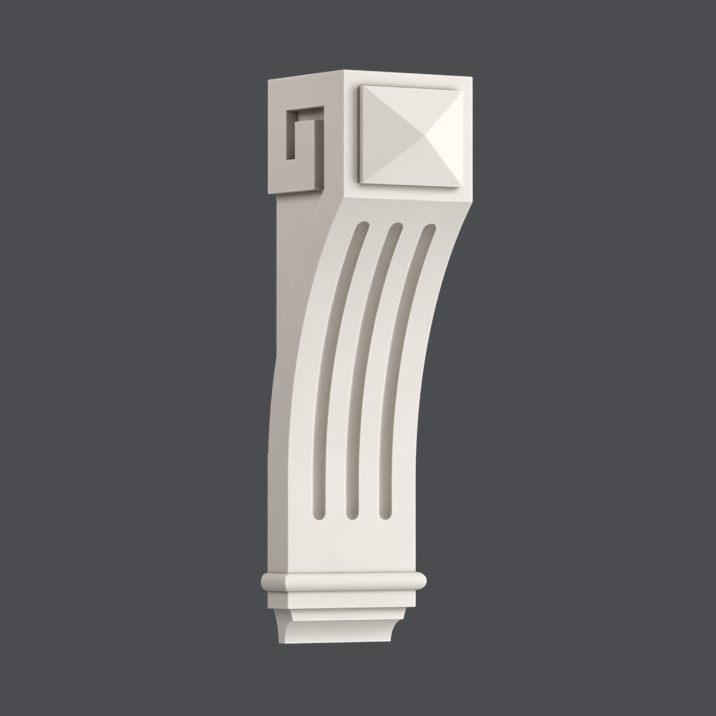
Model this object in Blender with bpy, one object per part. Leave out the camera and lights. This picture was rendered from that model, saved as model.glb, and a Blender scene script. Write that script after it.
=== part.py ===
"""Corbel: a wall bracket with a Greek key block, a fluted strap and a moulded foot.

It is one moulding, so it is one solid. The frame: +X is to the right as seen from the
front, the front faces -Y, and +Z is up. The back lies in the wall plane Y = 0, and the
origin is the middle of the back. In the sizes below, a depth is a distance out from the
wall, and a drop is a distance down from the top.
"""

import math

import bmesh
import bpy

MM = 0.001

# The whole corbel
WIDTH = 127.0 * MM
HEIGHT = 470.5 * MM

# The block at the top, and the Greek key sunk in each of its sides
BLOCK_DEPTH = 117.2 * MM
BLOCK_REAR_DROP = 95.5 * MM
KEY_SINK = 11.5 * MM
KEY_REAR_BAND = 28.0 * MM
KEY_REAR_SLOT = 14.0 * MM
KEY_BAR = 29.7 * MM
KEY_FRONT_SLOT = 15.2 * MM
KEY_TOP_BAND = 27.5 * MM
KEY_TOP_SLOT = 10.5 * MM
KEY_END_DROP = 68.8 * MM

# The strap: its front is part of an ellipse, its rear part of a circle
STRAP_FOOT_DEPTH = 31.75 * MM
FRONT_SPRING_DROP = 334.0 * MM
FRONT_REACH = 265.0 * MM
FRONT_RISE = 312.5 * MM
REAR_SPRING_DROP = 327.5 * MM
REAR_RADIUS = 352.0 * MM
REAR_LEAST_DEPTH = 0.3 * MM
CORE_INSET = 8.6 * MM

# The flutes down the strap's front
FLUTE_COUNT = 3
FLUTE_PITCH = 33.0 * MM
FLUTE_WIDTH = 12.9 * MM
FLUTE_DEPTH = 8.0 * MM
FLUTE_TOP = 23.8 * MM
FLUTE_LENGTH = 261.0 * MM

# The raised plate on the block's front, and the pyramid on it
PLATE_SIDE_MARGIN = 14.4 * MM
PLATE_TOP_DROP = 12.9 * MM
PLATE_BOTTOM_DROP = 92.6 * MM
PLATE_THICKNESS = 7.0 * MM
PYRAMID_HEIGHT = 16.9 * MM
QUIRK = 0.8 * MM

# The foot: a bead round three sides, a fillet, a fascia and a cove
BEAD_TOP_DROP = 411.7 * MM
BEAD_HEIGHT = 15.0 * MM
BEAD_REACH = 6.5 * MM
FILLET_BOTTOM_DROP = 441.2 * MM
FASCIA_BOTTOM_DROP = 451.4 * MM
FASCIA_INSET = 5.8 * MM
COVE_REACH = 16.2 * MM
SIDE_COVE_INSET = 10.9 * MM
SIDE_COVE_RADIUS = 84.0 * MM

# How finely the curves are cut into flats, and how far solids run into each other
FRONT_STEPS = 30
REAR_STEPS = 20
FLUTE_STEPS = 30
FLUTE_END_STEPS = 6
FLUTE_ROUND_STEPS = 12
BEAD_STEPS = 14
FASCIA_STEPS = 3
COVE_STEPS = 10
PATH_SAMPLES = 600
OVERLAP = 4.0 * MM
WALL_THICKNESS = 40.0 * MM
SHARP_DEGREES = 25.0

PRIMER_COLOUR = (0.82, 0.81, 0.78, 1.0)
PRIMER_ROUGHNESS = 0.55

HALF_WIDTH = WIDTH / 2
KEY_FRONT_DEPTH = KEY_REAR_BAND + KEY_REAR_SLOT + KEY_BAR + KEY_FRONT_SLOT


def height_of(drop):
    """The Z of a place that lies this far below the top."""
    return HEIGHT / 2 - drop


def front_depth(drop):
    """The depth of the strap's front face at a drop."""
    rise = max(0.0, FRONT_SPRING_DROP - drop) / FRONT_RISE
    return STRAP_FOOT_DEPTH + FRONT_REACH * (1 - math.sqrt(1 - rise * rise))


def front_drop(depth):
    """The drop at which the strap's front face has this depth."""
    run = 1 - (depth - STRAP_FOOT_DEPTH) / FRONT_REACH
    return FRONT_SPRING_DROP - FRONT_RISE * math.sqrt(1 - run * run)


def rear_depth(drop):
    """The depth of the strap's rear face at a drop."""
    rise = REAR_SPRING_DROP - drop
    return REAR_RADIUS - math.sqrt(REAR_RADIUS ** 2 - rise * rise)


def rear_drop(depth):
    """The drop at which the strap's rear face has this depth."""
    run = REAR_RADIUS - depth
    return REAR_SPRING_DROP - math.sqrt(REAR_RADIUS ** 2 - run * run)


def between(first, last, steps):
    """Evenly spaced values from first to last, both included."""
    return [first + (last - first) * step / steps for step in range(steps + 1)]


def front_curve():
    """Depth and drop down the strap's front, from the block to where it runs straight."""
    drops = between(front_drop(BLOCK_DEPTH), FRONT_SPRING_DROP, FRONT_STEPS)
    return [(front_depth(drop), drop) for drop in drops]


def rear_curve():
    """Depth and drop up the strap's rear, from near the wall to the Greek key's slot."""
    drops = between(rear_drop(REAR_LEAST_DEPTH), rear_drop(KEY_FRONT_DEPTH), REAR_STEPS)
    return [(rear_depth(drop), drop) for drop in drops]


def scroll_outline():
    """Side view of what has the full width: the strap, which coils up into the Greek key."""
    slot_rear = KEY_REAR_BAND
    bar_rear = slot_rear + KEY_REAR_SLOT
    bar_front = bar_rear + KEY_BAR
    slot_top = KEY_TOP_BAND
    bar_top = slot_top + KEY_TOP_SLOT
    outline = [(-OVERLAP, 0.0), (BLOCK_DEPTH, 0.0)]
    outline += front_curve()
    outline += [(STRAP_FOOT_DEPTH, FILLET_BOTTOM_DROP), (-OVERLAP, FILLET_BOTTOM_DROP)]
    outline += [(-OVERLAP, rear_drop(REAR_LEAST_DEPTH))]
    outline += rear_curve()
    outline += [(KEY_FRONT_DEPTH, slot_top), (slot_rear, slot_top)]
    outline += [(slot_rear, KEY_END_DROP), (bar_rear, KEY_END_DROP)]
    outline += [(bar_rear, bar_top), (bar_front, bar_top)]
    outline += [(bar_front, BLOCK_REAR_DROP), (-OVERLAP, BLOCK_REAR_DROP)]
    return outline


def core_outline():
    """Side view of the narrower core, which fills the space behind the strap."""
    inside = 2 * OVERLAP
    bar_front = KEY_REAR_BAND + KEY_REAR_SLOT + KEY_BAR
    above = BLOCK_REAR_DROP - inside
    outline = [(-OVERLAP, above), (bar_front - inside, above)]
    outline += [(bar_front - inside, BLOCK_REAR_DROP), (KEY_FRONT_DEPTH + inside, BLOCK_REAR_DROP)]
    for depth, drop in reversed(rear_curve()):
        outline.append((depth + inside, drop + inside))
    outline += [(-OVERLAP, rear_drop(REAR_LEAST_DEPTH) + inside)]
    return outline


def key_floor_outline():
    """Side view of the block inside the Greek key, which is the floor of its slots."""
    rear = KEY_REAR_BAND - OVERLAP
    front = KEY_FRONT_DEPTH + OVERLAP
    top = KEY_TOP_BAND - OVERLAP
    bottom = BLOCK_REAR_DROP + OVERLAP
    return [(rear, top), (front, top), (front, bottom), (rear, bottom)]


def link(name, mesh):
    """Put a finished bmesh into the scene as an object."""
    bmesh.ops.recalc_face_normals(mesh, faces=mesh.faces)
    data = bpy.data.meshes.new(name)
    mesh.to_mesh(data)
    mesh.free()
    thing = bpy.data.objects.new(name, data)
    bpy.context.scene.collection.objects.link(thing)
    return thing


def prism(name, outline, half_width):
    """A side view drawn out across the corbel, as far to the left as to the right."""
    mesh = bmesh.new()
    left = [mesh.verts.new((-half_width, -depth, height_of(drop))) for depth, drop in outline]
    right = [mesh.verts.new((half_width, -depth, height_of(drop))) for depth, drop in outline]
    mesh.faces.new(left)
    mesh.faces.new(list(reversed(right)))
    for index in range(len(outline)):
        following = (index + 1) % len(outline)
        mesh.faces.new((left[index], right[index], right[following], left[following]))
    return link(name, mesh)


def loft(name, rings):
    """A closed skin through rings of points with equal counts, with flat ends."""
    mesh = bmesh.new()
    loops = [[mesh.verts.new(point) for point in ring] for ring in rings]
    mesh.faces.new(loops[0])
    mesh.faces.new(list(reversed(loops[-1])))
    for loop, next_loop in zip(loops, loops[1:]):
        for index in range(len(loop)):
            following = (index + 1) % len(loop)
            corners = (loop[index], next_loop[index], next_loop[following], loop[following])
            mesh.faces.new(corners)
    return link(name, mesh)


def front_path():
    """Places down the strap's front: how far along it they lie, their depth and drop."""
    crease = front_drop(BLOCK_DEPTH)
    path = []
    along = 0.0
    for drop in between(crease, FILLET_BOTTOM_DROP, PATH_SAMPLES):
        depth = front_depth(drop)
        if path:
            along += math.hypot(depth - path[-1][1], drop - path[-1][2])
        path.append((along, depth, drop))
    return path


def place_on_path(path, along):
    """Depth and drop this far along the path, and the direction straight out of the face."""
    for start, end in zip(path, path[1:]):
        if end[0] >= along:
            break
    share = (along - start[0]) / (end[0] - start[0])
    depth = start[1] + share * (end[1] - start[1])
    drop = start[2] + share * (end[2] - start[2])
    length = end[0] - start[0]
    outward = ((end[2] - start[2]) / length, (start[1] - end[1]) / length)
    return depth, drop, outward


def flute_stations():
    """Where the flute's cross-sections lie along the strap, and their half widths."""
    radius = FLUTE_WIDTH / 2
    first = FLUTE_TOP + radius
    last = FLUTE_TOP + FLUTE_LENGTH - radius
    top_end = []
    bottom_end = []
    for step in range(1, FLUTE_END_STEPS):
        turn = math.pi / 2 * step / FLUTE_END_STEPS
        half = radius * math.sin(turn)
        top_end.append((first - radius * math.cos(turn), half))
        bottom_end.append((last + radius * math.cos(turn), half))
    middle = [(along, radius) for along in between(first, last, FLUTE_STEPS)]
    return top_end + middle + bottom_end[::-1]


def flute_cutter(name, centre):
    """A round-bottomed bar that follows the strap's front and cuts one flute."""
    path = front_path()
    wall = FLUTE_DEPTH - FLUTE_WIDTH / 2
    rings = []
    for along, half in flute_stations():
        depth, drop, outward = place_on_path(path, along)
        section = [(-half, OVERLAP)]
        for step in range(FLUTE_ROUND_STEPS + 1):
            turn = math.pi * step / FLUTE_ROUND_STEPS
            section.append((-half * math.cos(turn), -wall - half * math.sin(turn)))
        section.append((half, OVERLAP))
        ring = []
        for across, out in section:
            out_depth = depth + out * outward[0]
            out_drop = drop + out * outward[1]
            ring.append((centre + across, -out_depth, height_of(out_drop)))
        rings.append(ring)
    return loft(name, rings)


def plate(name):
    """The raised plate on the block's front, with its quirk, under a low pyramid."""
    half = HALF_WIDTH - PLATE_SIDE_MARGIN
    middle = height_of((PLATE_TOP_DROP + PLATE_BOTTOM_DROP) / 2)
    half_height = (PLATE_BOTTOM_DROP - PLATE_TOP_DROP) / 2
    levels = [
        (BLOCK_DEPTH - OVERLAP, QUIRK),
        (BLOCK_DEPTH + QUIRK, QUIRK),
        (BLOCK_DEPTH + QUIRK, 0.0),
        (BLOCK_DEPTH + PLATE_THICKNESS, 0.0),
    ]
    mesh = bmesh.new()
    loops = []
    for depth, inset in levels:
        side = half - inset
        rise = half_height - inset
        corners = [(-side, -rise), (side, -rise), (side, rise), (-side, rise)]
        loops.append([mesh.verts.new((x, -depth, middle + z)) for x, z in corners])
    apex = mesh.verts.new((0.0, -(BLOCK_DEPTH + PLATE_THICKNESS + PYRAMID_HEIGHT), middle))
    mesh.faces.new(loops[0])
    for index in range(4):
        following = (index + 1) % 4
        for loop, next_loop in zip(loops, loops[1:]):
            corners = (loop[index], loop[following], next_loop[following], next_loop[index])
            mesh.faces.new(corners)
        mesh.faces.new((loops[-1][index], loops[-1][following], apex))
    return link(name, mesh)


def bead(name):
    """The half-round bead, mitred at the two front corners."""
    middle = BEAD_TOP_DROP + BEAD_HEIGHT / 2
    section = [(-OVERLAP, middle - BEAD_HEIGHT / 2)]
    for step in range(BEAD_STEPS + 1):
        turn = math.pi * step / BEAD_STEPS
        drop = middle - BEAD_HEIGHT / 2 * math.cos(turn)
        section.append((BEAD_REACH * math.sin(turn), drop))
    section.append((-OVERLAP, middle + BEAD_HEIGHT / 2))
    corners = [(-1, 0), (-1, 1), (1, 1), (1, 0)]
    rings = []
    for side, at_front in corners:
        ring = []
        for reach, drop in section:
            depth = STRAP_FOOT_DEPTH + reach if at_front else -OVERLAP
            ring.append((side * (HALF_WIDTH + reach), -depth, height_of(drop)))
        rings.append(ring)
    return loft(name, rings)


def side_cove_inset(drop):
    """How far the foot's side is set in at a drop: a hollow that ends upright."""
    rise = HEIGHT - drop
    return SIDE_COVE_INSET - SIDE_COVE_RADIUS + math.sqrt(SIDE_COVE_RADIUS ** 2 - rise * rise)


def foot(name):
    """The fascia and cove below the fillet, with the flatter hollow on the sides."""
    levels = [(FASCIA_INSET, FILLET_BOTTOM_DROP - OVERLAP)]
    for drop in between(FILLET_BOTTOM_DROP, FASCIA_BOTTOM_DROP, FASCIA_STEPS):
        levels.append((FASCIA_INSET, drop))
    cove_height = HEIGHT - FASCIA_BOTTOM_DROP
    for step in range(1, COVE_STEPS + 1):
        turn = math.pi / 2 * (1 - step / COVE_STEPS)
        inset = FASCIA_INSET + COVE_REACH * math.cos(turn)
        levels.append((inset, HEIGHT - cove_height * math.sin(turn)))
    rings = []
    for inset, drop in levels:
        half = HALF_WIDTH - side_cove_inset(max(drop, FILLET_BOTTOM_DROP))
        front = STRAP_FOOT_DEPTH - inset
        z = height_of(drop)
        rings.append([(-half, OVERLAP, z), (-half, -front, z), (half, -front, z), (half, OVERLAP, z)])
    return loft(name, rings)


def wall(name):
    """The wall's volume, which cuts the back off flat."""
    mesh = bmesh.new()
    bmesh.ops.create_cube(mesh, size=1.0)
    bmesh.ops.scale(mesh, vec=(2 * WIDTH, WALL_THICKNESS, 2 * HEIGHT), verts=mesh.verts)
    bmesh.ops.translate(mesh, vec=(0.0, WALL_THICKNESS / 2, 0.0), verts=mesh.verts)
    return link(name, mesh)


def combine(body, tool, operation):
    """Join a tool to the body or cut it out of the body, and hide the tool."""
    modifier = body.modifiers.new(tool.name, "BOOLEAN")
    modifier.operation = operation
    modifier.solver = "EXACT"
    modifier.object = tool
    tool.hide_render = True
    tool.display_type = "WIRE"


def settle(body):
    """Keep the combined shape as the body's own mesh, with its curves shaded smooth."""
    graph = bpy.context.evaluated_depsgraph_get()
    shape = bpy.data.meshes.new_from_object(body.evaluated_get(graph))
    tools = [modifier.object for modifier in body.modifiers]
    body.modifiers.clear()
    body.data = shape
    for tool in tools:
        bpy.data.objects.remove(tool, do_unlink=True)
    shape.shade_smooth()
    shape.set_sharp_from_angle(angle=math.radians(SHARP_DEGREES))


def primer():
    """The paint-ready white coat."""
    material = bpy.data.materials.new("primer")
    material.use_nodes = True
    shader = material.node_tree.nodes["Principled BSDF"]
    shader.inputs["Base Color"].default_value = PRIMER_COLOUR
    shader.inputs["Roughness"].default_value = PRIMER_ROUGHNESS
    shader.inputs["Metallic"].default_value = 0.0
    return material


def build():
    """Model the corbel."""
    for thing in list(bpy.data.objects):
        bpy.data.objects.remove(thing, do_unlink=True)
    body = prism("corbel", scroll_outline(), HALF_WIDTH)
    combine(body, prism("core", core_outline(), HALF_WIDTH - CORE_INSET), "UNION")
    combine(body, prism("key_floor", key_floor_outline(), HALF_WIDTH - KEY_SINK), "UNION")
    combine(body, plate("plate"), "UNION")
    combine(body, bead("bead"), "UNION")
    combine(body, foot("foot"), "UNION")
    for index in range(FLUTE_COUNT):
        centre = (index - (FLUTE_COUNT - 1) / 2) * FLUTE_PITCH
        combine(body, flute_cutter(f"flute_{index + 1}", centre), "DIFFERENCE")
    combine(body, wall("wall"), "DIFFERENCE")
    settle(body)
    body.data.materials.append(primer())


build()
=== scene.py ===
"""The corbel's looks: eased edges and true curves, a primer coat, studio light and a camera."""

import math

import bmesh
import bpy
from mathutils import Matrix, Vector


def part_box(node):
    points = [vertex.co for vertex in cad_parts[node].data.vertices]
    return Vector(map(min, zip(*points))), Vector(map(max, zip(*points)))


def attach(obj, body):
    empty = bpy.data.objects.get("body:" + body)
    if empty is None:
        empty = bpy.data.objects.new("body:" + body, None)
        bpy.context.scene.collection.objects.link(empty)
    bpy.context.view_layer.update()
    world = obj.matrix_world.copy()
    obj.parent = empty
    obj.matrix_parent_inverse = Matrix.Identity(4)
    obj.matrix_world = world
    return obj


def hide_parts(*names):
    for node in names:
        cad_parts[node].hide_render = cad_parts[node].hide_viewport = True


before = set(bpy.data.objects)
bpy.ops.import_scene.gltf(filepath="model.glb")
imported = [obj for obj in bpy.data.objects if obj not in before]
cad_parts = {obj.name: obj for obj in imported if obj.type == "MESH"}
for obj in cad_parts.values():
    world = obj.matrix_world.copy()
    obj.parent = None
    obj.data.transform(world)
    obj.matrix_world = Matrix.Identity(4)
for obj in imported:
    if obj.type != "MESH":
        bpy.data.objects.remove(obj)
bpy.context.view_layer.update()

lowest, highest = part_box("corbel")

MM = 0.001

# The whole corbel, from the frame
TOP = highest.z
HEIGHT = highest.z - lowest.z
BEAD_REACH = 6.5 * MM
HALF_WIDTH = highest.x - BEAD_REACH

# The block at the top, and the Greek key sunk in each of its sides
PLATE_THICKNESS = 7.0 * MM
PYRAMID_HEIGHT = 16.9 * MM
BLOCK_DEPTH = -lowest.y - PLATE_THICKNESS - PYRAMID_HEIGHT
BLOCK_REAR_DROP = 95.5 * MM
KEY_SINK = 11.5 * MM
KEY_REAR_BAND = 28.0 * MM
KEY_REAR_SLOT = 14.0 * MM
KEY_BAR = 29.7 * MM
KEY_FRONT_SLOT = 15.2 * MM
KEY_TOP_BAND = 27.5 * MM
KEY_TOP_SLOT = 10.5 * MM
KEY_END_DROP = 68.8 * MM
KEY_BAR_REAR = KEY_REAR_BAND + KEY_REAR_SLOT
KEY_BAR_FRONT = KEY_BAR_REAR + KEY_BAR
KEY_FRONT = KEY_BAR_FRONT + KEY_FRONT_SLOT

# The raised plate on the block's front, with the pyramid on it
PLATE_SIDE_MARGIN = 14.4 * MM
PLATE_TOP_DROP = 12.9 * MM
PLATE_BOTTOM_DROP = 92.6 * MM
QUIRK = 0.8 * MM
PLATE_EASE = 0.35 * MM

# The strap: its front is part of an ellipse, its rear part of a circle
STRAP_FOOT_DEPTH = 31.75 * MM
FRONT_SPRING_DROP = 334.0 * MM
FRONT_REACH = 265.0 * MM
FRONT_RISE = 312.5 * MM
REAR_SPRING_DROP = 327.5 * MM
REAR_RADIUS = 352.0 * MM
REAR_LEAST_DEPTH = 0.3 * MM
CORE_INSET = 8.6 * MM

# The flutes down the strap's front
FLUTE_COUNT = 3
FLUTE_PITCH = 33.0 * MM
FLUTE_RADIUS = 12.9 * MM / 2
FLUTE_DEPTH = 8.0 * MM
FLUTE_TOP = 23.8 * MM
FLUTE_LENGTH = 261.0 * MM
FLUTE_BORDER = 6.0 * MM
FLUTE_EASE = 0.5 * MM

# The foot: a bead round three sides, a fillet, a fascia and a cove
BEAD_TOP_DROP = 411.7 * MM
BEAD_HEIGHT = 15.0 * MM
FILLET_BOTTOM_DROP = 441.2 * MM
FASCIA_BOTTOM_DROP = 451.4 * MM
FASCIA_INSET = 5.8 * MM
COVE_REACH = 16.2 * MM
SIDE_COVE_INSET = 10.9 * MM
SIDE_COVE_RADIUS = 84.0 * MM
FOOT_EASE = 0.3 * MM

# Eased edges, and the least turn, in degrees, of a corner and of an edge that is eased
ARRIS = 0.6 * MM
CORNER_RADIUS = 0.9 * MM
INNER_RADIUS = 0.4 * MM
CORNER_DEGREES = 8.0
ARRIS_DEGREES = 16.0
ROUND_STEPS = 4
EASE_SEGMENTS = 3
EASE_PROFILE = 0.5

# How finely curves are cut, and how many of a flute end's steps face each side of its cell
CURVE_STEP = 6.0 * MM
PATH_STEP = 0.4 * MM
FASCIA_STEP = 2.0 * MM
BEAD_STEPS = 28
COVE_STEPS = 18
GROOVE_STEPS = 10
END_STEPS = 16
END_SIDE_STEPS = 4

# How far the solids run into each other, the wall's volume, the weld and the shading
OVERLAP = 4.0 * MM
WALL_THICKNESS = 40.0 * MM
WALL_WIDTH = 4 * HALF_WIDTH
WALL_HEIGHT = 2 * HEIGHT
WELD = 0.002 * MM
SHARP_DEGREES = 35.0
NORMAL_WEIGHT = 100


def front_depth(drop):
    """The depth of the strap's front face at a drop."""
    rise = max(0.0, FRONT_SPRING_DROP - drop) / FRONT_RISE
    return STRAP_FOOT_DEPTH + FRONT_REACH * (1 - math.sqrt(1 - rise * rise))


def front_drop(depth):
    """The drop at which the strap's front face has this depth."""
    run = 1 - (depth - STRAP_FOOT_DEPTH) / FRONT_REACH
    return FRONT_SPRING_DROP - FRONT_RISE * math.sqrt(1 - run * run)


def rear_depth(drop):
    """The depth of the strap's rear face at a drop."""
    rise = REAR_SPRING_DROP - drop
    return REAR_RADIUS - math.sqrt(REAR_RADIUS ** 2 - rise * rise)


def rear_drop(depth):
    """The drop at which the strap's rear face has this depth."""
    run = REAR_RADIUS - depth
    return REAR_SPRING_DROP - math.sqrt(REAR_RADIUS ** 2 - run * run)


def between(first, last, steps):
    """Evenly spaced values from first to last, both included."""
    return [first + (last - first) * step / steps for step in range(steps + 1)]


def spaced(first, last, gap):
    """Evenly spaced values from first to last, no further apart than the gap."""
    return between(first, last, max(1, math.ceil(abs(last - first) / gap)))


class FrontPath:
    """The strap's front, by the distance down it from the block's lower edge."""

    def __init__(self):
        self.places = []
        along = 0.0
        for drop in spaced(front_drop(BLOCK_DEPTH), FILLET_BOTTOM_DROP, PATH_STEP):
            depth = front_depth(drop)
            if self.places:
                last_along, last_depth, last_drop = self.places[-1]
                along = last_along + math.hypot(depth - last_depth, drop - last_drop)
            self.places.append((along, depth, drop))
        self.length = along

    def at(self, along, sunk=0.0):
        """Depth and drop this far down the path, and this far under the surface."""
        share = min(max(along / self.length, 0.0), 1.0)
        index = min(int(share * (len(self.places) - 1)), len(self.places) - 2)
        while index > 0 and self.places[index][0] > along:
            index -= 1
        while index < len(self.places) - 2 and self.places[index + 1][0] < along:
            index += 1
        start, end = self.places[index], self.places[index + 1]
        gap = end[0] - start[0]
        part = (along - start[0]) / gap
        depth = start[1] + part * (end[1] - start[1])
        drop = start[2] + part * (end[2] - start[2])
        out_depth = (end[2] - start[2]) / gap
        out_drop = (start[1] - end[1]) / gap
        return depth - sunk * out_depth, drop - sunk * out_drop


path = FrontPath()


def flute_rows():
    """Distances down the strap of the rows that the flutes' cells are built on."""
    first = FLUTE_TOP + FLUTE_RADIUS
    last = FLUTE_TOP + FLUTE_LENGTH - FLUTE_RADIUS
    top = between(FLUTE_TOP - FLUTE_BORDER, first, END_SIDE_STEPS)
    bottom = between(last, FLUTE_TOP + FLUTE_LENGTH + FLUTE_BORDER, END_SIDE_STEPS)
    return top, spaced(first, last, CURVE_STEP), bottom


def front_stations():
    """Distances down the strap at which its edge has a point."""
    top, middle, bottom = flute_rows()
    above = spaced(0.0, top[0], CURVE_STEP)
    below = spaced(bottom[-1], path.length, CURVE_STEP)
    return above + top[1:] + middle[1:] + bottom[1:] + below[1:]


def scroll_outline():
    """Side view of what has the full width: the strap, which coils up into the Greek key."""
    outline = [(-OVERLAP, 0.0), (BLOCK_DEPTH, 0.0)]
    outline += [path.at(along) for along in front_stations()]
    outline += [(-OVERLAP, FILLET_BOTTOM_DROP), (-OVERLAP, rear_drop(REAR_LEAST_DEPTH))]
    for drop in spaced(rear_drop(REAR_LEAST_DEPTH), rear_drop(KEY_FRONT), CURVE_STEP):
        outline.append((rear_depth(drop), drop))
    bar_top = KEY_TOP_BAND + KEY_TOP_SLOT
    outline += [(KEY_FRONT, KEY_TOP_BAND), (KEY_REAR_BAND, KEY_TOP_BAND)]
    outline += [(KEY_REAR_BAND, KEY_END_DROP), (KEY_BAR_REAR, KEY_END_DROP)]
    outline += [(KEY_BAR_REAR, bar_top), (KEY_BAR_FRONT, bar_top)]
    outline += [(KEY_BAR_FRONT, BLOCK_REAR_DROP), (-OVERLAP, BLOCK_REAR_DROP)]
    return outline


def core_outline():
    """Side view of the narrower core, which fills the space behind the strap."""
    inside = 2 * OVERLAP
    above = BLOCK_REAR_DROP - inside
    outline = [(-OVERLAP, above), (KEY_BAR_FRONT - inside, above)]
    outline += [(KEY_BAR_FRONT - inside, BLOCK_REAR_DROP), (KEY_FRONT + inside, BLOCK_REAR_DROP)]
    for drop in spaced(rear_drop(KEY_FRONT), rear_drop(REAR_LEAST_DEPTH), CURVE_STEP):
        outline.append((rear_depth(drop) + inside, drop + inside))
    outline.append((-OVERLAP, rear_drop(REAR_LEAST_DEPTH) + inside))
    return outline


def key_floor_outline():
    """Side view of the block inside the Greek key, which is the floor of its slots."""
    rear = KEY_REAR_BAND - OVERLAP
    front = KEY_FRONT + OVERLAP
    top = KEY_TOP_BAND - OVERLAP
    bottom = BLOCK_REAR_DROP + OVERLAP
    return [(rear, top), (front, top), (front, bottom), (rear, bottom)]


def neighbours(loop):
    """Each point of a closed loop with the one before it and the one after it."""
    points = [Vector(point) for point in loop]
    return zip(points[-1:] + points[:-1], points, points[1:] + points[:1])


def rounded(outline):
    """The outline with its corners rounded, the outward ones more than the inward ones."""
    result = []
    for before, here, after in neighbours(outline):
        inward = (here - before).normalized()
        outward = (after - here).normalized()
        turn = math.atan2(inward.cross(outward), inward.dot(outward))
        if abs(turn) < math.radians(CORNER_DEGREES):
            result.append(tuple(here))
            continue
        radius = CORNER_RADIUS if turn > 0 else INNER_RADIUS
        start = here - inward * radius * math.tan(abs(turn) / 2)
        side = math.copysign(1.0, turn)
        middle = start + Vector((-inward.y, inward.x)) * side * radius
        for step in range(ROUND_STEPS + 1):
            angle = turn * step / ROUND_STEPS
            spoke = start - middle
            swung_x = spoke.x * math.cos(angle) - spoke.y * math.sin(angle)
            swung_y = spoke.x * math.sin(angle) + spoke.y * math.cos(angle)
            result.append((middle.x + swung_x, middle.y + swung_y))
    return result


def inset(loop, amount):
    """The loop moved in towards its own inside by an even amount."""
    result = []
    for before, here, after in neighbours(loop):
        inward = (here - before).normalized()
        outward = (after - here).normalized()
        mitre = Vector((-inward.y - outward.y, inward.x + outward.x)).normalized()
        reach = amount / mitre.dot(Vector((-inward.y, inward.x)))
        result.append(tuple(here + mitre * reach))
    return result


def point_at(x, depth, drop):
    """A place in the frame, from its side view and its place across the corbel."""
    return Vector((x, -depth, TOP - drop))


def add_face(mesh, corners):
    """A face on new points; the weld joins it to its neighbours later."""
    mesh.faces.new([mesh.verts.new(corner) for corner in corners])


def bridge(mesh, first, second, closed=True):
    """A band of quads between two rows of as many points."""
    count = len(first) if closed else len(first) - 1
    for index in range(count):
        following = (index + 1) % len(first)
        add_face(mesh, (first[index], first[following], second[following], second[index]))


def rim(loop, half_width, side):
    """Rows of points over an eased edge, from the side face to the edge's far end."""
    rows = []
    for step in range(ROUND_STEPS + 1):
        turn = math.pi / 2 * step / ROUND_STEPS
        x = half_width - ARRIS * (1 - math.cos(turn))
        row = inset(loop, ARRIS * (1 - math.sin(turn)))
        rows.append([point_at(side * x, depth, drop) for depth, drop in row])
    return rows


def groove_profile():
    """The flute from its rim inward: the distance from its middle line, and the depth."""
    wall = FLUTE_DEPTH - FLUTE_RADIUS
    profile = []
    for turn in between(0.0, math.pi / 2, ROUND_STEPS):
        away = FLUTE_RADIUS + FLUTE_EASE * (1 - math.sin(turn))
        profile.append((away, FLUTE_EASE * (1 - math.cos(turn))))
    for turn in between(0.0, math.pi / 2, GROOVE_STEPS):
        profile.append((FLUTE_RADIUS * math.cos(turn), wall + FLUTE_RADIUS * math.sin(turn)))
    return profile


def flute_ring(centre, away, sunk):
    """A ring of points round a flute's middle line, at one distance and depth."""
    middle = flute_rows()[1]
    turns = between(0.0, math.pi, END_STEPS)
    ring = [(-away * math.cos(turn), middle[0] - away * math.sin(turn)) for turn in turns]
    ring += [(away, along) for along in middle[1:-1]]
    ring += [(away * math.cos(turn), middle[-1] + away * math.sin(turn)) for turn in turns]
    ring += [(-away, along) for along in reversed(middle[1:-1])]
    return [point_at(centre + across, *path.at(along, sunk)) for across, along in ring]


def cell_ring(centre):
    """The straight-sided cell round a flute, point for point with the flute's rings."""
    top, middle, bottom = flute_rows()
    half = FLUTE_PITCH / 2
    across = between(-half, half, END_STEPS - 2 * END_SIDE_STEPS)
    ring = [(-half, along) for along in reversed(top)]
    ring += [(x, top[0]) for x in across[1:-1]]
    ring += [(half, along) for along in top]
    ring += [(half, along) for along in middle[1:-1]]
    ring += [(half, along) for along in bottom]
    ring += [(x, bottom[-1]) for x in reversed(across[1:-1])]
    ring += [(-half, along) for along in reversed(bottom)]
    ring += [(-half, along) for along in reversed(middle[1:-1])]
    return [point_at(centre + x, *path.at(along)) for x, along in ring]


def flute_centres():
    """Where the flutes' middle lines lie across the strap."""
    first = -FLUTE_PITCH * (FLUTE_COUNT - 1) / 2
    return [first + index * FLUTE_PITCH for index in range(FLUTE_COUNT)]


def fluted_front(mesh):
    """The strap's front between the top and the bottom row of the flutes' cells."""
    for centre in flute_centres():
        rings = [cell_ring(centre)]
        rings += [flute_ring(centre, away, sunk) for away, sunk in groove_profile()]
        for outer, inner in zip(rings, rings[1:]):
            bridge(mesh, outer, inner)
    top, middle, bottom = flute_rows()
    rows = [path.at(along) for along in top + middle[1:] + bottom[1:]]
    cell_edge = FLUTE_PITCH * FLUTE_COUNT / 2
    for side in (-1, 1):
        outer = [point_at(side * (HALF_WIDTH - ARRIS), *row) for row in rows]
        inner = [point_at(side * cell_edge, *row) for row in rows]
        bridge(mesh, outer, inner, closed=False)


def cell_edge_points(along):
    """The points of the flutes' cells along their top or bottom row, left to right."""
    steps = END_STEPS - 2 * END_SIDE_STEPS
    edge = FLUTE_PITCH * FLUTE_COUNT / 2
    return [point_at(x, *path.at(along)) for x in between(-edge, edge, steps * FLUTE_COUNT)]


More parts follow.
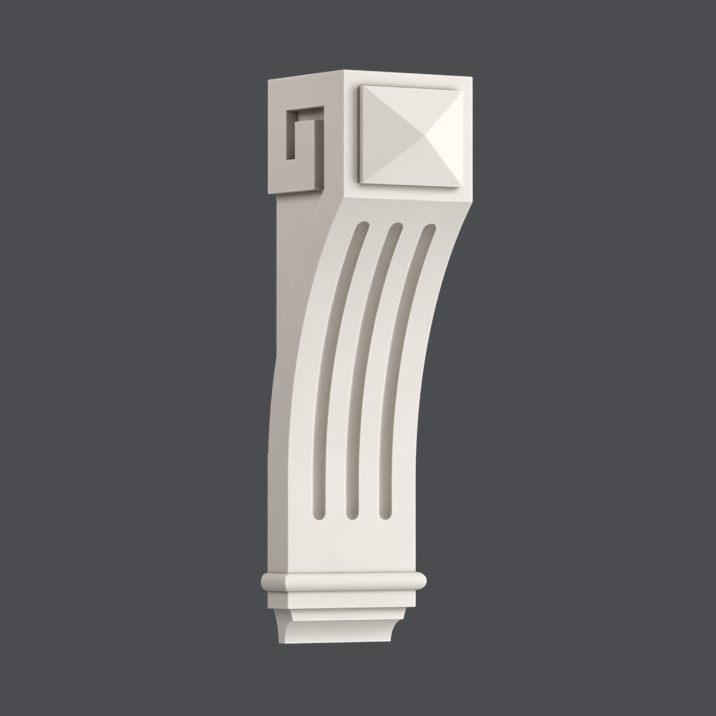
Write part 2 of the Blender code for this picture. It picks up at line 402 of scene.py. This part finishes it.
def across_strip(mesh, left, right, index, following, top_place, bottom_place):
    """One flat of the surface across the corbel, with the cells' points where it meets them."""
    corners = [left[index]]
    if is_same(left[index], bottom_place):
        corners += cell_edge_points(flute_rows()[2][-1])
    corners += [right[index], right[following]]
    if is_same(left[following], top_place):
        corners += reversed(cell_edge_points(flute_rows()[0][0]))
    corners.append(left[following])
    add_face(mesh, corners)


def is_same(first, second):
    """Whether two places are the same, to the weld's distance."""
    return (first - second).length < WELD


def finish_mesh(mesh):
    """Weld the points, drop faces that closed up, and turn the faces outward."""
    bmesh.ops.remove_doubles(mesh, verts=mesh.verts, dist=WELD)
    bmesh.ops.dissolve_degenerate(mesh, edges=mesh.edges, dist=WELD)
    bmesh.ops.recalc_face_normals(mesh, faces=mesh.faces)


def link(name, mesh):
    """Put a finished bmesh into the scene as an object."""
    finish_mesh(mesh)
    data = bpy.data.meshes.new(name)
    mesh.to_mesh(data)
    mesh.free()
    thing = bpy.data.objects.new(name, data)
    bpy.context.scene.collection.objects.link(thing)
    return thing


def scroll(name):
    """The block and strap with eased edges and the flutes sunk in the strap's front."""
    loop = rounded(scroll_outline())
    mesh = bmesh.new()
    left_rows = rim(loop, HALF_WIDTH, -1)
    right_rows = rim(loop, HALF_WIDTH, 1)
    for rows in (left_rows, right_rows):
        add_face(mesh, rows[0])
        for row, next_row in zip(rows, rows[1:]):
            bridge(mesh, row, next_row)
    left, right = left_rows[-1], right_rows[-1]
    x = -(HALF_WIDTH - ARRIS)
    top_place = point_at(x, *path.at(flute_rows()[0][0]))
    bottom_place = point_at(x, *path.at(flute_rows()[2][-1]))
    fluted = False
    for index, place in enumerate(left):
        following = (index + 1) % len(left)
        if is_same(place, top_place):
            fluted = True
        if is_same(place, bottom_place):
            fluted = False
        if not fluted:
            across_strip(mesh, left, right, index, following, top_place, bottom_place)
    fluted_front(mesh)
    return link(name, mesh)


def prism(name, outline, half_width):
    """A side view drawn out across the corbel, as far to the left as to the right."""
    mesh = bmesh.new()
    left = [point_at(-half_width, depth, drop) for depth, drop in outline]
    right = [point_at(half_width, depth, drop) for depth, drop in outline]
    add_face(mesh, left)
    add_face(mesh, right)
    bridge(mesh, left, right)
    return link(name, mesh)


def loft(name, rings, eased=None):
    """A closed skin through rings of points, with flat ends and, if asked, eased edges."""
    mesh = bmesh.new()
    add_face(mesh, rings[0])
    add_face(mesh, rings[-1])
    for ring, next_ring in zip(rings, rings[1:]):
        bridge(mesh, ring, next_ring)
    if eased:
        finish_mesh(mesh)
        bmesh.ops.bevel(
            mesh,
            geom=[edge for edge in mesh.edges if is_arris(edge)],
            offset=eased,
            offset_type="OFFSET",
            segments=EASE_SEGMENTS,
            profile=EASE_PROFILE,
            affect="EDGES",
            clamp_overlap=True,
        )
    return link(name, mesh)


def is_arris(edge):
    """Whether an edge is an outward one with a clear turn."""
    return edge.is_convex and edge.calc_face_angle(0.0) > math.radians(ARRIS_DEGREES)


def plate(name):
    """The raised plate on the block's front, with its quirk, under a low pyramid."""
    half = HALF_WIDTH - PLATE_SIDE_MARGIN
    middle_drop = (PLATE_TOP_DROP + PLATE_BOTTOM_DROP) / 2
    half_height = (PLATE_BOTTOM_DROP - PLATE_TOP_DROP) / 2
    levels = [
        (BLOCK_DEPTH - OVERLAP, QUIRK),
        (BLOCK_DEPTH + QUIRK, QUIRK),
        (BLOCK_DEPTH + QUIRK, 0.0),
        (BLOCK_DEPTH + PLATE_THICKNESS, 0.0),
    ]
    rings = []
    for depth, narrowing in levels:
        side = half - narrowing
        rise = half_height - narrowing
        corners = [(-side, rise), (side, rise), (side, -rise), (-side, -rise)]
        rings.append([point_at(x, depth, middle_drop + z) for x, z in corners])
    apex = point_at(0.0, BLOCK_DEPTH + PLATE_THICKNESS + PYRAMID_HEIGHT, middle_drop)
    rings.append([apex] * len(corners))
    return loft(name, rings, eased=PLATE_EASE)


def bead(name):
    """The half-round bead, mitred at the two front corners."""
    middle = BEAD_TOP_DROP + BEAD_HEIGHT / 2
    section = [(-OVERLAP, middle - BEAD_HEIGHT / 2)]
    for turn in between(0.0, math.pi, BEAD_STEPS):
        section.append((BEAD_REACH * math.sin(turn), middle - BEAD_HEIGHT / 2 * math.cos(turn)))
    section.append((-OVERLAP, middle + BEAD_HEIGHT / 2))
    rings = []
    for side, at_front in ((-1, False), (-1, True), (1, True), (1, False)):
        ring = []
        for reach, drop in section:
            depth = STRAP_FOOT_DEPTH + reach if at_front else -OVERLAP
            ring.append(point_at(side * (HALF_WIDTH + reach), depth, drop))
        rings.append(ring)
    return loft(name, rings)


def side_cove_inset(drop):
    """How far the foot's side is set in at a drop: a hollow that ends upright."""
    rise = HEIGHT - drop
    return SIDE_COVE_INSET - SIDE_COVE_RADIUS + math.sqrt(SIDE_COVE_RADIUS ** 2 - rise * rise)


def foot(name):
    """The fascia and cove below the fillet, with the flatter hollow on the sides."""
    levels = [(FASCIA_INSET, FILLET_BOTTOM_DROP - OVERLAP)]
    for drop in spaced(FILLET_BOTTOM_DROP, FASCIA_BOTTOM_DROP, FASCIA_STEP):
        levels.append((FASCIA_INSET, drop))
    cove_height = HEIGHT - FASCIA_BOTTOM_DROP
    for turn in between(math.pi / 2, 0.0, COVE_STEPS)[1:]:
        reach = FASCIA_INSET + COVE_REACH * math.cos(turn)
        levels.append((reach, HEIGHT - cove_height * math.sin(turn)))
    rings = []
    for reach, drop in levels:
        half = HALF_WIDTH - side_cove_inset(max(drop, FILLET_BOTTOM_DROP))
        front = STRAP_FOOT_DEPTH - reach
        corners = [(-half, -OVERLAP), (-half, front), (half, front), (half, -OVERLAP)]
        rings.append([point_at(x, depth, drop) for x, depth in corners])
    return loft(name, rings, eased=FOOT_EASE)


def wall(name):
    """The wall's volume, which cuts the back off flat."""
    mesh = bmesh.new()
    bmesh.ops.create_cube(mesh, size=1.0)
    bmesh.ops.scale(mesh, vec=(WALL_WIDTH, WALL_THICKNESS, WALL_HEIGHT), verts=mesh.verts)
    bmesh.ops.translate(mesh, vec=(0.0, WALL_THICKNESS / 2, 0.0), verts=mesh.verts)
    return link(name, mesh)


def combine(body, tool, operation):
    """Join a tool to the body or cut it out of the body."""
    modifier = body.modifiers.new(tool.name, "BOOLEAN")
    modifier.operation = operation
    modifier.solver = "EXACT"
    modifier.object = tool


def settle(body):
    """Keep the combined shape as the body's own mesh, and remove the tools."""
    graph = bpy.context.evaluated_depsgraph_get()
    shape = bpy.data.meshes.new_from_object(body.evaluated_get(graph))
    tools = [modifier.object for modifier in body.modifiers]
    body.modifiers.clear()
    body.data = shape
    for tool in tools:
        bpy.data.objects.remove(tool, do_unlink=True)


def shade(body):
    """Smooth shading over the eased edges, with the flat faces kept flat."""
    body.data.shade_smooth()
    body.data.set_sharp_from_angle(angle=math.radians(SHARP_DEGREES))
    weighted = body.modifiers.new("weighted_normals", "WEIGHTED_NORMAL")
    weighted.keep_sharp = True
    weighted.weight = NORMAL_WEIGHT


def corbel():
    """The whole corbel as one closed mesh."""
    body = scroll("corbel_moulding")
    combine(body, prism("core", core_outline(), HALF_WIDTH - CORE_INSET), "UNION")
    combine(body, prism("key_floor", key_floor_outline(), HALF_WIDTH - KEY_SINK), "UNION")
    combine(body, plate("plate"), "UNION")
    combine(body, bead("bead"), "UNION")
    combine(body, foot("foot"), "UNION")
    combine(body, wall("wall"), "DIFFERENCE")
    settle(body)
    shade(body)
    return body


# The primer's colours, and the tones that multiply them: painted shade in recesses and crevices,
# and painted highlight with wear on edges
COAT_DARK = (0.742, 0.716, 0.681)
COAT_LIGHT = (0.788, 0.761, 0.728)
# Painted shade: the primer darker where more of the corbel closes round the surface, as in
# recesses and flutes
DEEP_PAINTED_SHADE = (0.46, 0.42, 0.37)
HOLLOW_PAINTED_SHADE = (0.77, 0.748, 0.714)
# Painted shade: a dark line in tight creases, such as round the plate's quirk
CREVICE_PAINTED_SHADE = (0.40, 0.35, 0.29)
# Painted highlight, partly wear: the primer paler along the eased edges
WORN_AND_HIGHLIGHT_TONE = (1.24, 1.24, 1.24)
OPEN_TONE = (1.0, 1.0, 1.0)

# The coat's and the tones' colour stops: a place from 0 to 1, and the colour there
COAT_STOPS = ((0.3, COAT_DARK), (0.7, COAT_LIGHT))
RECESS_SHADE_STOPS = ((0.2, DEEP_PAINTED_SHADE), (0.5, HOLLOW_PAINTED_SHADE), (0.95, OPEN_TONE))
CREVICE_SHADE_STOPS = ((0.30, CREVICE_PAINTED_SHADE), (0.85, OPEN_TONE))
WEAR_AND_HIGHLIGHT_STOPS = ((0.6, WORN_AND_HIGHLIGHT_TONE), (0.97, OPEN_TONE))

# How far each tone looks round for nearby surface, and with how many rays
RECESS_SHADE_REACH = 18.0 * MM
RECESS_SHADE_RAYS = 12
CREVICE_SHADE_REACH = 4.0 * MM
CREVICE_SHADE_RAYS = 8
WEAR_AND_HIGHLIGHT_REACH = 2.0 * MM
WEAR_AND_HIGHLIGHT_RAYS = 8

# The coat's mottle, sheen and fine orange peel: a texture's scale is per metre
MOTTLE_SCALE = 14.0
MOTTLE_DETAIL = 4.0
MOTTLE_ROUGHNESS = 0.55
SHEEN_SCALE = 60.0
SHEEN_DETAIL = 3.0
LEAST_ROUGHNESS = 0.52
MOST_ROUGHNESS = 0.66
SPECULAR_LEVEL = 0.35
PEEL_SCALE = 900.0
PEEL_DETAIL = 2.0
PEEL_STRENGTH = 0.05
PEEL_HEIGHT = 0.2 * MM


def node(tree, kind, **values):
    """A shader node with some of its inputs set, named by underscored words."""
    made = tree.nodes.new(kind)
    for name, value in values.items():
        made.inputs[name.replace("_", " ")].default_value = value
    return made


def noise(tree, place, **values):
    """A noise texture over the corbel's own coordinates, in metres."""
    texture = node(tree, "ShaderNodeTexNoise", **values)
    tree.links.new(place.outputs["Object"], texture.inputs["Vector"])
    return texture.outputs["Fac"]


def ramp(tree, value, stops):
    """The colour that a value picks between the given places and colours."""
    made = tree.nodes.new("ShaderNodeValToRGB")
    elements = made.color_ramp.elements
    while len(elements) < len(stops):
        elements.new(1.0)
    for element, (position, colour) in zip(elements, stops):
        element.position = position
        element.color = (*colour, 1.0)
    tree.links.new(value, made.inputs["Fac"])
    return made.outputs["Color"]


def tone(tree, reach, rays, stops, inside=False):
    """A colour by how open the surface is, or if inside, by how much solid is behind it."""
    occlusion = node(tree, "ShaderNodeAmbientOcclusion", Distance=reach)
    occlusion.only_local = True
    occlusion.inside = inside
    occlusion.samples = rays
    return ramp(tree, occlusion.outputs["AO"], stops)


def multiply(tree, first, second):
    """One colour times another."""
    made = tree.nodes.new("ShaderNodeMix")
    made.data_type = "RGBA"
    made.blend_type = "MULTIPLY"
    made.inputs["Factor"].default_value = 1.0
    tree.links.new(first, made.inputs["A"])
    tree.links.new(second, made.inputs["B"])
    return made.outputs["Result"]


def primer():
    """A sprayed matte primer, near white, with painted shade in hollows, painted highlight and
    wear on edges, and a fine peel.
    """
    material = bpy.data.materials.new("primer_coat")
    material.use_nodes = True
    tree = material.node_tree
    shader = tree.nodes["Principled BSDF"]
    shader.inputs["Specular IOR Level"].default_value = SPECULAR_LEVEL
    place = tree.nodes.new("ShaderNodeTexCoord")

    mottle = noise(
        tree, place, Scale=MOTTLE_SCALE, Detail=MOTTLE_DETAIL, Roughness=MOTTLE_ROUGHNESS
    )
    colour = ramp(tree, mottle, COAT_STOPS)
    # Painted shade darkens recesses and crevices; painted highlight with wear brightens the edges
    colour = multiply(tree, colour, tone(tree, RECESS_SHADE_REACH, RECESS_SHADE_RAYS, RECESS_SHADE_STOPS))
    colour = multiply(tree, colour, tone(tree, CREVICE_SHADE_REACH, CREVICE_SHADE_RAYS, CREVICE_SHADE_STOPS))
    colour = multiply(tree, colour, tone(tree, WEAR_AND_HIGHLIGHT_REACH, WEAR_AND_HIGHLIGHT_RAYS, WEAR_AND_HIGHLIGHT_STOPS, inside=True))
    tree.links.new(colour, shader.inputs["Base Color"])

    sheen = noise(tree, place, Scale=SHEEN_SCALE, Detail=SHEEN_DETAIL)
    gloss = node(tree, "ShaderNodeMapRange", To_Min=LEAST_ROUGHNESS, To_Max=MOST_ROUGHNESS)
    tree.links.new(sheen, gloss.inputs["Value"])
    tree.links.new(gloss.outputs["Result"], shader.inputs["Roughness"])

    peel = noise(tree, place, Scale=PEEL_SCALE, Detail=PEEL_DETAIL)
    bump = node(tree, "ShaderNodeBump", Strength=PEEL_STRENGTH, Distance=PEEL_HEIGHT)
    tree.links.new(peel, bump.inputs["Height"])
    tree.links.new(bump.outputs["Normal"], shader.inputs["Normal"])
    return material


# The camera, as in the photograph: a long lens from the front left, looking slightly up
LENS_MM = 237.3
SENSOR_MM = 36.0
CAMERA_TURN = math.radians(32.92)
CAMERA_PITCH = math.radians(1.52)
CAMERA_DISTANCE = 3.939
CAMERA_TARGET = Vector((0.0001, -0.0401, 0.0027))


def camera():
    """The photograph's view."""
    data = bpy.data.cameras.new("photo_camera")
    data.lens = LENS_MM
    data.sensor_width = SENSOR_MM
    thing = bpy.data.objects.new("photo_camera", data)
    level = math.cos(CAMERA_PITCH)
    ahead = Vector((math.sin(CAMERA_TURN) * level, math.cos(CAMERA_TURN) * level, 0.0))
    ahead.z = math.sin(CAMERA_PITCH)
    thing.location = CAMERA_TARGET - ahead * CAMERA_DISTANCE
    thing.rotation_euler = (math.pi / 2 + CAMERA_PITCH, 0.0, -CAMERA_TURN)
    bpy.context.scene.collection.objects.link(thing)
    bpy.context.scene.camera = thing


# Lights: name, azimuth and elevation in degrees, distance and size in metres, watts, colour
WHITE = (1.0, 0.985, 0.97)
WARM = (1.0, 0.945, 0.885)
LIGHTS = (
    ("right_key", 46.0, -10.0, 3.0, 1.2, 45.0, WHITE),
    ("right_high", 33.0, 27.0, 3.0, 1.2, 23.5, WHITE),
    ("right_side", 63.0, 20.0, 3.0, 1.2, 32.0, WHITE),
    ("front_high", 2.0, 36.0, 3.0, 1.2, 18.0, WHITE),
    ("front_low", 4.0, -32.0, 2.6, 1.6, 11.2, WHITE),
    ("left_near", -94.0, 36.0, 1.5, 0.8, 11.2, WARM),
    ("left_low", -80.0, -38.0, 2.6, 1.6, 7.4, WARM),
    ("back_fill", 178.0, 12.0, 3.0, 1.2, 16.0, WHITE),
)


def soft_light(name, azimuth, elevation, distance, size, watts, colour):
    """A square studio light that faces the corbel from a direction."""
    data = bpy.data.lights.new(name, "AREA")
    data.shape = "SQUARE"
    data.size = size
    data.energy = watts
    data.color = colour
    thing = bpy.data.objects.new(name, data)
    turn, rise = math.radians(azimuth), math.radians(elevation)
    level = math.cos(rise)
    away = Vector((math.sin(turn) * level, -math.cos(turn) * level, math.sin(rise)))
    thing.location = away * distance
    thing.rotation_mode = "QUATERNION"
    thing.rotation_quaternion = away.to_track_quat("Z", "Y")
    thing.visible_camera = False
    bpy.context.scene.collection.objects.link(thing)


# The floor and the grey surround
FLOOR_DROP = 3.7
FLOOR_RADIUS = 12.0
FLOOR_SIDES = 96
FLOOR_COLOUR = (0.80, 0.80, 0.79, 1.0)
FLOOR_ROUGHNESS = 0.8
SURROUND_COLOUR = (0.070, 0.072, 0.077, 1.0)


def floor():
    """A plain pale floor, well below the corbel."""
    mesh = bmesh.new()
    bmesh.ops.create_circle(mesh, cap_ends=True, segments=FLOOR_SIDES, radius=FLOOR_RADIUS)
    bmesh.ops.translate(mesh, vec=(0.0, 0.0, -FLOOR_DROP), verts=mesh.verts)
    data = bpy.data.meshes.new("floor")
    mesh.to_mesh(data)
    mesh.free()
    thing = bpy.data.objects.new("floor", data)
    bpy.context.scene.collection.objects.link(thing)
    material = bpy.data.materials.new("floor_paint")
    material.use_nodes = True
    shader = material.node_tree.nodes["Principled BSDF"]
    shader.inputs["Base Color"].default_value = FLOOR_COLOUR
    shader.inputs["Roughness"].default_value = FLOOR_ROUGHNESS
    data.materials.append(material)


def backdrop():
    """A plain grey surround."""
    world = bpy.data.worlds.new("surround")
    world.use_nodes = True
    background = world.node_tree.nodes["Background"]
    background.inputs["Color"].default_value = SURROUND_COLOUR
    background.inputs["Strength"].default_value = 1.0
    bpy.context.scene.world = world
    bpy.context.scene.view_settings.view_transform = "Standard"


piece = corbel()
piece.data.materials.append(primer())
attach(piece, "root")
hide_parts("corbel")
camera()
for light in LIGHTS:
    soft_light(*light)
floor()
backdrop()
